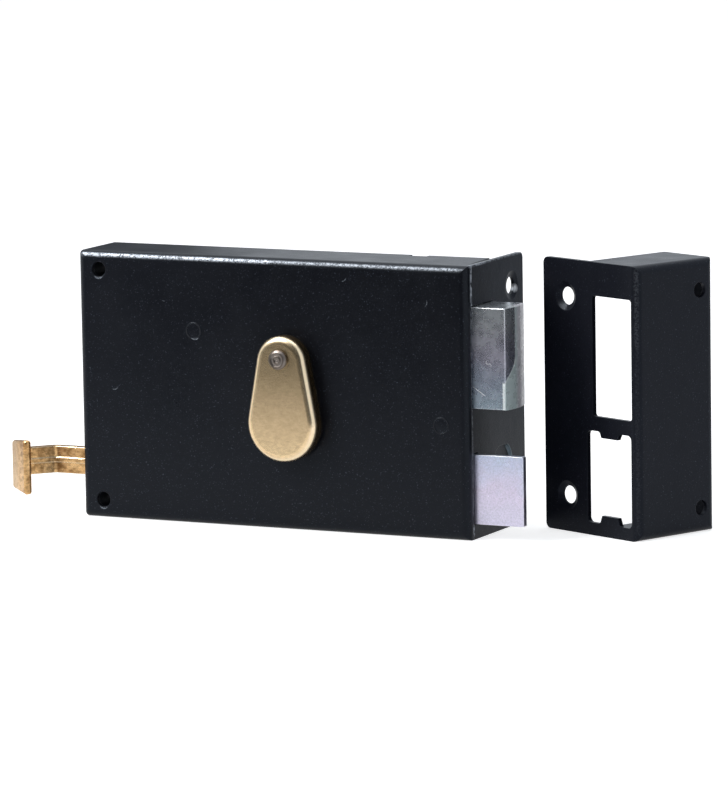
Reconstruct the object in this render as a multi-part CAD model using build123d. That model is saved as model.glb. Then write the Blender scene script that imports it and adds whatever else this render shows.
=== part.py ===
from build123d import *
from math import asin, cos, degrees, radians, sin
import os

# A horizontal rim box lock with a pull latch, and its keep standing beside it.
# The pieces are worked out with x from the left wall, y from the front face to the rear
# and z from the bottom, then all are moved so that the origin is on the key axis,
# in the plane that lies against the door.

# Case: one folded sheet with front, top, bottom and left walls and a forend plate
case_width = 140.0
case_height = 88.0
case_depth = 23.5
forend_depth = 43.0
sheet = 1.5
edge_radius = 2.5
case_corner_radius = 1.2
forend_corner_radius = 2.0
flap_taper = 1.2
corner_slit = 0.5
notch_left = 110.0
notch_width = 6.0
notch_depth = 2.5

# Clearances
over = 4.0
slide_gap = 0.35
fit_gap = 0.3
running_gap = 0.05
rivet_gap = 0.03
small_edge = 0.4

# Key axis and keyhole
key_x = 76.5
key_z = 31.5
key_pin_radius = 3.6
key_bit_radius = 12.0
key_bit_room = 1.0
key_slot_width = 3.4
key_hub_room = 4.9

# Fixing holes through the case and the forend
front_hole_x = 7.8
front_hole_low = 6.1
front_hole_drop = 6.0
front_hole_radius = 2.5
sleeve_wall = 1.0
forend_hole_y = 34.2
forend_hole_inset = 9.9
forend_hole_radius = 2.9
forend_sink_radius = 4.7
forend_sink_depth = 0.5
recess_y = 26.0
recess_z = 20.85
recess_size = 13.1
recess_corner = 4.8
recess_depth = 0.8

# Riveted posts that show as two rings on the front
post_radius = 3.0
post_spigot_radius = 2.5
upper_post_x = 42.35
upper_post_z = 63.3
lower_post_inset = 9.4
lower_post_z = 36.8
screw_radius = 1.5
screw_length = 8.0
screw_head_radius = 2.9
screw_slot_width = 0.8
screw_slot_depth = 0.6

# Back plate
spigot_radius = 2.0

# Latch
latch_front = 3.6
latch_thickness = 15.6
latch_bottom = 42.2
latch_height = 32.5
latch_throw = 11.5
latch_heel = 12.0
nose_bulge = 1.2
nose_round = 1.2
tail_thickness = 3.0
tail_height = 14.0
tail_left = 14.5
tail_socket = 8.0
latch_rivet_radius = 1.5
latch_rivet_spacing = 8.0

# Latch spring and its stop
spring_z = 49.5
spring_radius = 4.0
spring_wire = 0.55
spring_turns = 8
spring_space = 32.0
spring_stop_radius = 3.5
spring_pin_radius = 1.6
spring_pin_length = 10.0

# Pull
slide_width = 12.0
slide_thickness = 2.5
pull_z = 16.65
pull_height = 8.9
pull_straight = 16.0
pull_bend_angle = 48.0
pull_bend_length = 10.75
pull_bend_radius = 3.0
pull_inner_end = 26.0
rib_width = 1.6
rib_height = 0.45
head_width = 13.2
head_height = 18.3
head_thickness = 2.65
head_drop = 1.35
head_slope = 1.6
head_foot_rise = 0.7
head_round = 1.1
pull_rivet_radius = 1.5
pull_rivet_spacing = 6.0

# Deadbolt
deadbolt_front = 4.2
deadbolt_thickness = 2.5
deadbolt_bottom = 5.0
deadbolt_height = 22.4
deadbolt_throw = 17.1
deadbolt_left = 42.0
deadbolt_tail_height = 19.5
deadbolt_opening_top_gap = 0.5
deadbolt_opening_step = 3.2
deadbolt_opening_rear = 18.6
talon_width = 4.0
talon_depth = 5.0
stump_inset = 27.0
stump_z = 14.0
stump_radius = 3.0
stump_spigot_radius = 2.0

# Levers
lever_count = 4
lever_thickness = 1.5
lever_gap = 0.4
lever_pivot_x = 50.0
lever_pivot_z = 14.0
lever_eye_radius = 6.0
lever_top = 26.0
lever_bottom = 3.4
lever_belly_step = 0.5
lever_swing = 3.0
lever_end = 6.0
pivot_radius = 3.0
pivot_shoulder_radius = 4.6
clip_radius = 5.4
clip_thickness = 1.0
spring_leaf = 0.4
spring_leaf_width = 1.0
anchor_width = 4.0

# Crank that lets the key draw the latch
crank_x = 56.0
crank_z = 38.0
crank_arm = 20.0
crank_tip_radius = 2.5
crank_neck = 4.0
crank_hub_radius = 5.0
crank_key_arm = 10.5
crank_key_arm_angle = -22.0
crank_pivot_radius = 2.5
crank_shoulder_radius = 4.2

# Key cover and its base
cover_low_radius = 12.35
cover_low_z = 35.2
cover_high_radius = 8.8
cover_high_z = 54.9
cover_front = 6.8
cover_wall = 1.0
cover_round = 2.4
cover_rear_gap = 0.4
base_thickness = 1.2
base_inset = 0.8
cover_rivet_z = 56.3
cover_rivet_head_radius = 3.2
cover_rivet_head = 1.5
cover_rivet_head_round = 0.85
cover_rivet_radius = 1.75
cover_collar_radius = 3.0
rivet_tail_height = 1.0
rivet_tail_radius = 2.6
base_rivet_z = 26.4
base_rivet_radius = 1.1

# Keep: one folded sheet, standing on its own and turned as in the picture
keep_width = 34.0
keep_plate_depth = 43.0
keep_box_depth = 22.5
keep_corner_x = 191.0
keep_corner_y = 17.2
keep_turn = 67.0
keep_upper_front = 2.5
keep_upper_rear = 20.4
keep_upper_bottom = 38.5
keep_upper_top = 77.2
keep_lower_front = 2.9
keep_lower_rear = 23.3
keep_lower_bottom = 4.1
keep_lower_top = 33.8
keep_tab_front = 9.3
keep_tab_rear = 16.7
keep_tab_slope = 0.9
keep_upper_tab = 2.0
keep_lower_tab = 2.6
keep_opening_radius = 1.0
keep_lobe_radius = 1.6
keep_plate_hole_y = 32.7
keep_plate_hole_low = 11.75
keep_plate_hole_drop = 12.0
keep_sink_depth = 1.0
keep_cover_hole_inset = 6.2
keep_cover_hole_low = 7.95
keep_cover_hole_drop = 9.9

# Values worked out from the sizes above
front_hole_high = case_height - front_hole_drop
lower_post_x = case_width - lower_post_inset
stump_x = case_width - stump_inset
keep_plate_hole_high = case_height - keep_plate_hole_drop
keep_cover_hole_x = keep_width - keep_cover_hole_inset
keep_cover_hole_high = case_height - keep_cover_hole_drop
back_inner = case_depth - sheet
forend_inner = case_width - sheet
tail_front = latch_front + (latch_thickness - tail_thickness) / 2
tail_rear = tail_front + tail_thickness
tail_bottom = upper_post_z - tail_height / 2
tail_top = upper_post_z + tail_height / 2
latch_top = latch_bottom + latch_height
latch_heel_x = case_width - latch_heel
latch_nose_x = case_width + latch_throw
spring_stop_x = latch_heel_x - spring_space
latch_rear = latch_front + latch_thickness
deadbolt_rear = deadbolt_front + deadbolt_thickness
deadbolt_top = deadbolt_bottom + deadbolt_height
deadbolt_nose_x = case_width + deadbolt_throw
stack_front = deadbolt_rear + lever_gap
stack_rear = stack_front + lever_count * (lever_thickness + lever_gap)
slide_right = tail_left + slide_width
slide_rear = tail_rear + slide_thickness
pull_bottom = pull_z - pull_height / 2
pull_top = pull_z + pull_height / 2
crank_swing = degrees(asin(latch_throw / 2 / crank_arm))
crank_tip_x = crank_x + crank_arm * sin(radians(crank_swing))
cover_rear = base_thickness + cover_rear_gap
post_front = sheet + fit_gap
pivot_clip_front = deadbolt_front - fit_gap - clip_thickness


def block(x0, x1, y0, y1, z0, z1):
    """A box between two limits along each axis."""
    size = Box(x1 - x0, y1 - y0, z1 - z0, align=(Align.MIN, Align.MIN, Align.MIN))
    return Pos(x0, y0, z0) * size


def rod_y(x, z, radius, y0, y1):
    """A round bar along y."""
    bar = Cylinder(radius, y1 - y0, align=(Align.CENTER, Align.CENTER, Align.MIN))
    return Pos(x, y0, z) * Rot(-90, 0, 0) * bar


def rod_x(y, z, radius, x0, x1):
    """A round bar along x."""
    bar = Cylinder(radius, x1 - x0, align=(Align.CENTER, Align.CENTER, Align.MIN))
    return Pos(x0, y, z) * Rot(0, 90, 0) * bar


def cone_y(x, z, radius0, radius1, y0, y1):
    """A cone along y with one radius at each end."""
    body = Cone(radius0, radius1, y1 - y0, align=(Align.CENTER, Align.CENTER, Align.MIN))
    return Pos(x, y0, z) * Rot(-90, 0, 0) * body


def cone_x(y, z, radius0, radius1, x0, x1):
    """A cone along x with one radius at each end."""
    body = Cone(radius0, radius1, x1 - x0, align=(Align.CENTER, Align.CENTER, Align.MIN))
    return Pos(x0, y, z) * Rot(0, 90, 0) * body


def plate_xz(face, y0, y1):
    """A flat outline in x and z given thickness along y."""
    return extrude(Plane.XZ.offset(-y1) * face, amount=y1 - y0)


def plate_yz(face, x0, x1):
    """A flat outline in y and z given thickness along x."""
    return extrude(Plane.YZ.offset(x0) * face, amount=x1 - x0)


def slot_y(x0, x1, z, radius, y0, y1):
    """A cutter for a slot with round ends that runs along x."""
    cutter = block(x0, x1, y0, y1, z - radius, z + radius)
    return cutter + rod_y(x0, z, radius, y0, y1) + rod_y(x1, z, radius, y0, y1)


def keyhole(y0, y1):
    """Cutter of the keyhole: a round hole with a slot above it for the bit."""
    half = key_slot_width / 2
    bit = block(key_x - half, key_x + half, y0, y1, key_z, key_z + key_bit_radius + key_bit_room)
    return bit + rod_y(key_x, key_z, key_pin_radius, y0, y1)


def teardrop(margin):
    """Outline of the key cover, grown by a margin: two circles and their common tangents."""
    low = cover_low_radius + margin
    high = cover_high_radius + margin
    lean = asin((low - high) / (cover_high_z - cover_low_z))
    side, rise = cos(lean), sin(lean)
    flank = Polygon(
        (key_x - low * side, cover_low_z + low * rise),
        (key_x + low * side, cover_low_z + low * rise),
        (key_x + high * side, cover_high_z + high * rise),
        (key_x - high * side, cover_high_z + high * rise),
        align=None,
    )
    round_low = Pos(key_x, cover_low_z) * Circle(low)
    round_high = Pos(key_x, cover_high_z) * Circle(high)
    return flank + round_low + round_high


def make_case_shell():
    """The folded case with its forend, openings and holes."""
    outer = block(0, case_width, 0, case_depth, 0, case_height)
    outer = fillet(outer.edges().filter_by(Axis.Y).group_by(Axis.X)[0], case_corner_radius)
    outer = fillet(outer.faces().sort_by(Axis.Y)[0].edges(), edge_radius)
    inner = block(sheet, forend_inner, sheet, case_depth + over, sheet, case_height - sheet)
    inner = fillet(inner.faces().sort_by(Axis.Y)[0].edges(), edge_radius - sheet)
    flange = block(forend_inner, case_width, edge_radius, forend_depth, 0, case_height)
    flange = fillet(flange.faces().sort_by(Axis.Y)[-1].edges().filter_by(Axis.X), forend_corner_radius)
    shell = outer - inner + flange
    for z0, z1 in ((-over, sheet), (case_height - sheet, case_height + over)):
        taper = Polygon(
            (forend_inner, edge_radius),
            (forend_inner, case_depth + over),
            (forend_inner - flap_taper * (case_depth + over) / case_depth, case_depth + over),
            align=None,
        )
        shell -= extrude(Pos(0, 0, z0) * taper, amount=z1 - z0)
    for z0 in (sheet, case_height - sheet - corner_slit):
        shell -= block(-over, sheet, edge_radius, case_depth + over, z0, z0 + corner_slit)
    shell -= block(notch_left, notch_left + notch_width, case_depth - notch_depth,
                   case_depth + over, case_height - sheet - over, case_height + over)
    shell -= cut_forend()
    shell -= cut_front()
    shell -= block(-over, sheet + over, tail_front - rib_height - slide_gap, tail_rear + slide_gap,
                   pull_bottom - slide_gap, pull_top + slide_gap)
    return shell


def cut_forend():
    """Cutters for the two bolt openings, the screw holes and the recess in the forend."""
    latch = block(forend_inner - over, case_width + over, latch_front - slide_gap,
                  latch_rear + slide_gap, latch_bottom - slide_gap, latch_top + slide_gap)
    bolt = block(forend_inner - over, case_width + over, deadbolt_front - slide_gap,
                 deadbolt_rear + slide_gap, deadbolt_bottom - slide_gap,
                 deadbolt_top + deadbolt_opening_top_gap)
    bolt += block(forend_inner - over, case_width + over, deadbolt_front,
                  deadbolt_opening_rear, deadbolt_bottom - slide_gap,
                  deadbolt_top - deadbolt_opening_step)
    bolt = fillet(bolt.edges().filter_by(Axis.X), small_edge / 2)
    cutters = latch + bolt
    for z in (forend_hole_inset, case_height - forend_hole_inset):
        cutters += rod_x(forend_hole_y, z, forend_hole_radius, forend_inner - over, case_width + over)
        cutters += cone_x(forend_hole_y, z, forend_hole_radius, forend_sink_radius,
                          case_width - forend_sink_depth, case_width)
    recess = Pos(recess_y, recess_z) * RectangleRounded(recess_size, recess_size, recess_corner)
    return cutters + plate_yz(recess, case_width - recess_depth, case_width + over)


def cut_front():
    """Cutters for the holes in the front wall."""
    cutters = keyhole(-over, sheet + over)
    for z in (front_hole_low, front_hole_high):
        cutters += rod_y(front_hole_x, z, front_hole_radius, -over, sheet + over)
    for x, z in ((upper_post_x, upper_post_z), (lower_post_x, lower_post_z)):
        cutters += rod_y(x, z, post_spigot_radius + rivet_gap, -over, sheet + over)
    cutters += rod_y(key_x, cover_rivet_z, cover_rivet_radius + rivet_gap, -over, sheet + over)
    cutters += rod_y(key_x, base_rivet_z, base_rivet_radius + rivet_gap, -over, sheet + over)
    return cutters


def make_back_plate():
    """The plate on the door side, flush with the rear edges of the walls."""
    plate = block(sheet + fit_gap, forend_inner - fit_gap, back_inner, case_depth,
                  sheet + fit_gap, case_height - sheet - fit_gap)
    plate += block(notch_left + fit_gap, notch_left + notch_width - fit_gap, back_inner, case_depth,
                   case_height - sheet - fit_gap - sheet, case_height - fit_gap)
    plate -= keyhole(back_inner - over, case_depth + over)
    for z in (front_hole_low, front_hole_high):
        plate -= rod_y(front_hole_x, z, front_hole_radius, back_inner - over, case_depth + over)
    for x, z in ((upper_post_x, upper_post_z), (lower_post_x, lower_post_z)):
        plate -= rod_y(x, z, screw_radius + running_gap, back_inner - over, case_depth + over)
        plate -= cone_y(x, z, screw_radius + running_gap, screw_head_radius + running_gap,
                        back_inner, case_depth)
    for x, z in ((lever_pivot_x, lever_pivot_z), (crank_x, crank_z), (spring_stop_x, spring_z)):
        plate -= rod_y(x, z, spigot_radius + rivet_gap, back_inner - over, case_depth + over)
    return plate


def make_back_plate_screws():
    """Two slotted countersunk screws into the riveted posts."""
    screws = []
    for x, z in ((upper_post_x, upper_post_z), (lower_post_x, lower_post_z)):
        screw = rod_y(x, z, screw_radius, back_inner - screw_length, case_depth)
        screw += cone_y(x, z, screw_radius, screw_head_radius, back_inner, case_depth)
        screw -= block(x - screw_slot_width / 2, x + screw_slot_width / 2,
                       case_depth - screw_slot_depth, case_depth + over,
                       z - screw_head_radius - over, z + screw_head_radius + over)
        screws.append(screw)
    return Compound(screws)


def make_front_post(x, z):
    """A post riveted into the front wall and bored for a back plate screw."""
    post = rod_y(x, z, post_radius, sheet, back_inner)
    post += rod_y(x, z, post_spigot_radius, 0, sheet)
    return post - rod_y(x, z, screw_radius + running_gap, back_inner - screw_length - fit_gap,
                        back_inner + over)


def make_fixing_sleeves():
    """Two sleeves between front and back that carry the fixing screws."""
    sleeves = []
    for z in (front_hole_low, front_hole_high):
        tube = rod_y(front_hole_x, z, front_hole_radius + sleeve_wall, sheet, back_inner)
        sleeves.append(tube - rod_y(front_hole_x, z, front_hole_radius, -over, case_depth + over))
    return Compound(sleeves)


def make_latch_bolt():
    """The latch head: a block with a slightly domed nose and a round rear corner."""
    nose = latch_nose_x
    middle = latch_front + (latch_thickness - nose_round) / 2
    outline = Polyline((latch_heel_x, latch_rear), (latch_heel_x, latch_front), (nose, latch_front))
    outline += ThreePointArc((nose, latch_front), (nose + nose_bulge, middle),
                             (nose, latch_rear - nose_round))
    outline += TangentArc((nose, latch_rear - nose_round), (nose - nose_round, latch_rear),
                          tangent=(0, 1))
    outline += Line((nose - nose_round, latch_rear), (latch_heel_x, latch_rear))
    head = extrude(Pos(0, 0, latch_bottom) * make_face(outline), amount=latch_height)
    head = chamfer(head.faces().sort_by(Axis.Y)[0].edges(), small_edge / 2)
    socket = block(latch_heel_x - over, latch_heel_x + tail_socket + rivet_gap,
                   tail_front - rivet_gap, tail_rear + rivet_gap,
                   tail_bottom - rivet_gap, tail_top + rivet_gap)
    head -= socket
    for x, z in latch_rivet_places():
        head -= rod_y(x, z, latch_rivet_radius + rivet_gap, latch_front - over, latch_rear + over)
    return head


def latch_rivet_places():
    """Where the two rivets cross the latch head and its tail."""
    x = latch_heel_x + tail_socket / 2
    return [(x, upper_post_z - latch_rivet_spacing / 2), (x, upper_post_z + latch_rivet_spacing / 2)]


def slide_rivet_place():
    """Where the tail is riveted to the pull slide."""
    return tail_left + slide_width / 2, upper_post_z


def pull_rivet_places():
    """Where the brass pull is riveted to the slide."""
    x = tail_left + slide_width / 2
    return [(x - pull_rivet_spacing / 2, pull_z), (x + pull_rivet_spacing / 2, pull_z)]


def make_latch_tail():
    """The steel strip behind the latch head, slotted for its post and notched for the crank."""
    tail = block(tail_left, latch_heel_x + tail_socket, tail_front, tail_rear, tail_bottom, tail_top)
    tail -= slot_y(upper_post_x, upper_post_x + latch_throw + slide_gap, upper_post_z,
                   post_radius + slide_gap, tail_front - over, tail_rear + over)
    half = crank_tip_radius + slide_gap
    tail -= block(crank_tip_x - half, crank_tip_x + half, tail_front - over, tail_rear + over,
                  tail_bottom - over, crank_z + crank_arm + crank_tip_radius + slide_gap)
    for x, z in latch_rivet_places():
        tail -= rod_y(x, z, latch_rivet_radius + rivet_gap, tail_front - over, tail_rear + over)
    x, z = slide_rivet_place()
    return tail - rod_y(x, z, latch_rivet_radius + rivet_gap, tail_front - over, tail_rear + over)


def make_latch_rivets():
    """Two rivets through the latch head."""
    return Compound([rod_y(x, z, latch_rivet_radius, latch_front, latch_rear)
                     for x, z in latch_rivet_places()])


def make_pull_slide():
    """The steel arm that joins the pull to the latch tail."""
    arm = block(tail_left, slide_right, tail_rear, slide_rear, pull_bottom, tail_top)
    for x, z in pull_rivet_places() + [slide_rivet_place()]:
        arm -= rod_y(x, z, pull_rivet_radius + rivet_gap, tail_rear - over, slide_rear + over)
    return arm


def make_slide_rivets():
    """Rivets that fix the slide: one to the latch tail, two to the pull."""
    return Compound([rod_y(x, z, pull_rivet_radius, tail_front, slide_rear)
                     for x, z in pull_rivet_places() + [slide_rivet_place()]])


def pull_path():
    """Centre line of the pull in x and y: straight out of the case, then bent forward."""
    mid = (tail_front + tail_rear) / 2
    turn = radians(pull_bend_angle)
    corner = (-pull_straight, mid)
    end = (corner[0] - pull_bend_length * cos(turn), mid - pull_bend_length * sin(turn))
    return mid, corner, end


def make_pull_handle():
    """The brass pull: a ribbed flat bar with a plate head across its bent end."""
    mid, corner, end = pull_path()
    turn = radians(pull_bend_angle)
    path = FilletPolyline((pull_inner_end, mid), corner, end, radius=pull_bend_radius)
    start = Plane(origin=(pull_inner_end, mid, pull_z), x_dir=(0, 1, 0), z_dir=(-1, 0, 0))
    bar = start * Rectangle(tail_thickness, pull_height)
    rib = start * Pos(-tail_thickness / 2, 0) * Rectangle(rib_height * 2, rib_width)
    body = sweep(bar + rib, path=Pos(0, 0, pull_z) * path)
    half_width, half_height = head_width / 2, head_height / 2
    outline = Polygon(
        (-half_width, -half_height), (half_width, head_foot_rise - half_height),
        (half_width, half_height - head_slope), (-half_width, half_height),
        align=None,
    )
    head = plate_yz(outline, -head_thickness / 2, head_thickness / 2)
    head = fillet(head.edges(), head_round)
    out_x, out_y = -cos(turn), -sin(turn)
    head_middle = (end[0] + out_x * head_thickness / 2, end[1] + out_y * head_thickness / 2)
    head = Pos(head_middle[0], head_middle[1], pull_z - head_drop) * Rot(0, 0, pull_bend_angle) * head
    pull = body + head
    for x, z in pull_rivet_places():
        pull -= rod_y(x, z, pull_rivet_radius + rivet_gap, tail_front - over, tail_rear + over)
    return pull


def make_spring_stop():
    """The post that the latch spring pushes against, with its guide pin."""
    middle = (tail_front + tail_rear) / 2
    post = rod_y(spring_stop_x, spring_z, spring_stop_radius, post_front, back_inner)
    post += rod_y(spring_stop_x, spring_z, spigot_radius, back_inner, case_depth)
    face = spring_stop_x + spring_stop_radius / 2
    post -= block(face, spring_stop_x + spring_stop_radius + over, middle - spring_radius * 2,
                  middle + spring_radius * 2, spring_z - spring_radius * 2, spring_z + spring_radius * 2)
    return post + rod_x(middle, spring_z, spring_pin_radius, spring_stop_x, face + spring_pin_length)


def make_latch_spring():
    """The compression spring between its stop and the heel of the latch."""
    middle = (tail_front + tail_rear) / 2
    first = spring_stop_x + spring_stop_radius / 2 + spring_wire + running_gap
    last = latch_heel_x - spring_wire - running_gap
    helix = Helix(pitch=(last - first) / spring_turns, height=last - first, radius=spring_radius)
    start = Plane(origin=helix @ 0, z_dir=helix % 0)
    coil = sweep(start * Circle(spring_wire), path=helix, is_frenet=True)
    return Pos(first, middle, spring_z) * Rot(0, 90, 0) * coil


def make_deadbolt():
    """The deadbolt: a plate with a guide slot, a talon for the key and a hole for the stump."""
    head_left = key_x + key_bit_radius + deadbolt_throw + key_bit_room
    tail_end = deadbolt_bottom + deadbolt_tail_height
    plate = block(deadbolt_left, deadbolt_nose_x, deadbolt_front, deadbolt_rear,
                  deadbolt_bottom, tail_end)
    plate += block(head_left, deadbolt_nose_x, deadbolt_front, deadbolt_rear,
                   deadbolt_bottom, deadbolt_top)
    plate = chamfer(plate.faces().sort_by(Axis.X)[-1].edges(), small_edge / 2)
    plate -= slot_y(lever_pivot_x, lever_pivot_x + deadbolt_throw + slide_gap, lever_pivot_z,
                    pivot_radius + slide_gap, deadbolt_front - over, deadbolt_rear + over)
    talon = key_x + deadbolt_throw / 2
    plate -= block(talon - talon_width / 2, talon + talon_width / 2, deadbolt_front - over,
                   deadbolt_rear + over, tail_end - talon_depth, tail_end + over)
    return plate - rod_y(stump_x, stump_z, stump_spigot_radius + rivet_gap,
                         deadbolt_front - over, deadbolt_rear + over)


def make_bolt_stump():
    """The pin riveted to the deadbolt that passes through the levers."""
    pin = rod_y(stump_x, stump_z, stump_radius, deadbolt_rear, stack_rear)
    return pin + rod_y(stump_x, stump_z, stump_spigot_radius, deadbolt_front, deadbolt_rear)


def make_lever(index):
    """One lever: an eye on the pivot, a belly under the key and a window for the stump."""
    reach = stump_x + stump_radius + slide_gap
    stump_in = stump_x - deadbolt_throw
    belly = key_z - key_bit_radius - index * lever_belly_step
    belly_left = key_x - key_bit_radius - key_bit_room
    belly_right = key_x + key_bit_radius + key_bit_room
    body = block(lever_pivot_x, reach + lever_end, 0, lever_thickness, lever_bottom, lever_top)
    body += rod_y(lever_pivot_x, lever_pivot_z, lever_eye_radius, 0, lever_thickness)
    body -= block(lever_pivot_x - lever_eye_radius - over, belly_left - over, -over,
                  lever_thickness + over, lever_pivot_z + lever_eye_radius, lever_top + over)
    body -= block(lever_pivot_x - lever_eye_radius - over, belly_left - over, -over,
                  lever_thickness + over, lever_bottom - over, lever_pivot_z - lever_eye_radius)
    body -= block(belly_left - over, belly_right, -over, lever_thickness + over,
                  belly, lever_top + over)
    room = stump_radius + slide_gap
    body -= block(stump_in - room, reach, -over, lever_thickness + over,
                  stump_z - room, stump_z + room)
    drop = (stump_x - lever_pivot_x) * sin(radians(lever_swing)) + slide_gap
    for x in (stump_in, stump_x):
        body -= block(x - room, x + room, -over, lever_thickness + over,
                      stump_z - room - drop, stump_z + room)
    body -= rod_y(lever_pivot_x, lever_pivot_z, pivot_radius + running_gap, -over,
                  lever_thickness + over)
    return Pos(0, lever_front(index), 0) * body


def lever_front(index):
    """Front face of a lever in the stack."""
    return stack_front + index * (lever_thickness + lever_gap)


def make_lever_post():
    """The lever pivot: a stepped post riveted into the back plate."""
    post = rod_y(lever_pivot_x, lever_pivot_z, pivot_radius, post_front, stack_rear)
    post += rod_y(lever_pivot_x, lever_pivot_z, pivot_shoulder_radius, stack_rear, back_inner)
    return post + rod_y(lever_pivot_x, lever_pivot_z, spigot_radius, back_inner, case_depth)


def make_post_clip(x, z, radius, front):
    """A clip ring pressed on a post in front of what turns on it."""
    ring = rod_y(x, z, clip_radius, front, front + clip_thickness)
    return ring - rod_y(x, z, radius + rivet_gap, front - over, front + clip_thickness + over)


def make_lever_springs():
    """Four leaf springs on their anchor, one under each lever."""
    leaves = []
    seat = spring_seat()
    for index in range(lever_count):
        middle = lever_front(index) + lever_thickness / 2
        half = spring_leaf_width / 2
        leaf = block(anchor_left(), stump_x - deadbolt_throw, middle - half, middle + half,
                     seat, seat + spring_leaf)
        leaves.append(leaf)
    return Compound(leaves)


def anchor_left():
    """Left end of the anchor that carries the leaf springs."""
    return lever_pivot_x + lever_eye_radius


def spring_seat():
    """Height of the anchor's top face, where the leaf springs lie."""
    return lever_bottom - fit_gap - spring_leaf


def make_lever_spring_anchor():
    """The block under the levers that holds the leaf springs, fixed to the back plate."""
    return block(anchor_left(), anchor_left() + anchor_width, lever_front(0), back_inner,
                 sheet + fit_gap, spring_seat())


def make_latch_crank():
    """The crank: a tip in the tail's notch and an arm that the key lifts."""
    x, z = crank_x, crank_z
    hub = rod_y(x, z, crank_hub_radius, tail_front, tail_rear)
    lean = Pos(x, 0, z) * Rot(0, crank_swing, 0)
    half = crank_neck / 2
    upright = block(-half, half, tail_front, tail_rear, 0, crank_arm)
    upright += rod_y(0, crank_arm, crank_tip_radius, tail_front, tail_rear)
    side = Pos(x, 0, z) * Rot(0, -crank_key_arm_angle, 0)
    lever = block(0, crank_key_arm, tail_front, tail_rear, -half, half)
    lever += rod_y(crank_key_arm, 0, half, tail_front, tail_rear)
    crank = hub + lean * upright + side * lever
    return crank - rod_y(x, z, crank_pivot_radius + running_gap, tail_front - over, tail_rear + over)


def make_crank_post():
    """The crank pivot: a stepped post riveted into the back plate."""
    shoulder = tail_rear + fit_gap
    post = rod_y(crank_x, crank_z, crank_pivot_radius, post_front, shoulder)
    post += rod_y(crank_x, crank_z, crank_shoulder_radius, shoulder, back_inner)
    return post + rod_y(crank_x, crank_z, spigot_radius, back_inner, case_depth)


def make_key_cover():
    """The brass cover: a shallow cap with a rounded rim that hangs from its rivet."""
    cap = plate_xz(teardrop(0), -cover_front, -cover_rear)
    cap = fillet(cap.faces().sort_by(Axis.Y)[0].edges(), cover_round)
    hollow = plate_xz(teardrop(-cover_wall), -cover_front + cover_wall, -cover_rear + over)
    hollow = fillet(hollow.faces().sort_by(Axis.Y)[0].edges(), cover_round - cover_wall)
    cap -= hollow
    return cap - rod_y(key_x, cover_rivet_z, cover_rivet_radius + running_gap, -cover_front - over, 0)


def make_key_cover_base():
    """The thin brass plate behind the cover, with the keyhole."""
    base = plate_xz(teardrop(-base_inset), -base_thickness, 0)
    base = fillet(base.faces().sort_by(Axis.Y)[0].edges(), small_edge)
    base -= keyhole(-base_thickness - over, over)
    base -= rod_y(key_x, cover_rivet_z, cover_rivet_radius + rivet_gap, -base_thickness - over, over)
    return base - rod_y(key_x, base_rivet_z, base_rivet_radius + rivet_gap,
                        -base_thickness - over, over)


def make_cover_rivet():
    """The steel rivet that the cover swings on: head, collar, shank and closed end."""
    face = -cover_front - fit_gap / 2
    head = rod_y(key_x, cover_rivet_z, cover_rivet_head_radius, face - cover_rivet_head, face)
    head = fillet(head.faces().sort_by(Axis.Y)[0].edges(), cover_rivet_head_round)
    shank = rod_y(key_x, cover_rivet_z, cover_rivet_radius, face, sheet)
    collar = rod_y(key_x, cover_rivet_z, cover_collar_radius,
                   -cover_front + cover_wall + fit_gap / 2, -base_thickness)
    tail = rod_y(key_x, cover_rivet_z, rivet_tail_radius, sheet, sheet + rivet_tail_height)
    return head + shank + collar + tail


def make_base_rivet():
    """The small rivet that holds the lower end of the cover base."""
    shank = rod_y(key_x, base_rivet_z, base_rivet_radius, -base_thickness, sheet)
    tail = rod_y(key_x, base_rivet_z, rivet_tail_radius, sheet, sheet + rivet_tail_height)
    return shank + tail


def keep_lower_opening():
    """Outline of the deadbolt's opening in the keep: lobes at the corners and a tab at each end."""
    a, b = keep_lower_front, keep_lower_rear
    c, d = keep_tab_front, keep_tab_rear
    low, high = keep_lower_bottom, keep_lower_top
    slope = keep_tab_slope
    outline = Polygon(
        (a, low), (c - slope, low), (c, low + keep_lower_tab), (d, low + keep_lower_tab),
        (d + slope, low), (b, low), (b, high), (d + slope, high), (d, high - keep_upper_tab),
        (c, high - keep_upper_tab), (c - slope, high), (a, high),
        align=None,
    )
    rows = outline.vertices().group_by(Axis.Y)
    inner = [v for v in list(rows[0]) + list(rows[-1]) if a + slope < v.X < b - slope]
    outline = fillet(inner, slope)
    columns = outline.vertices().group_by(Axis.X)
    return fillet(list(columns[0]) + list(columns[-1]), keep_lobe_radius)


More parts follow.
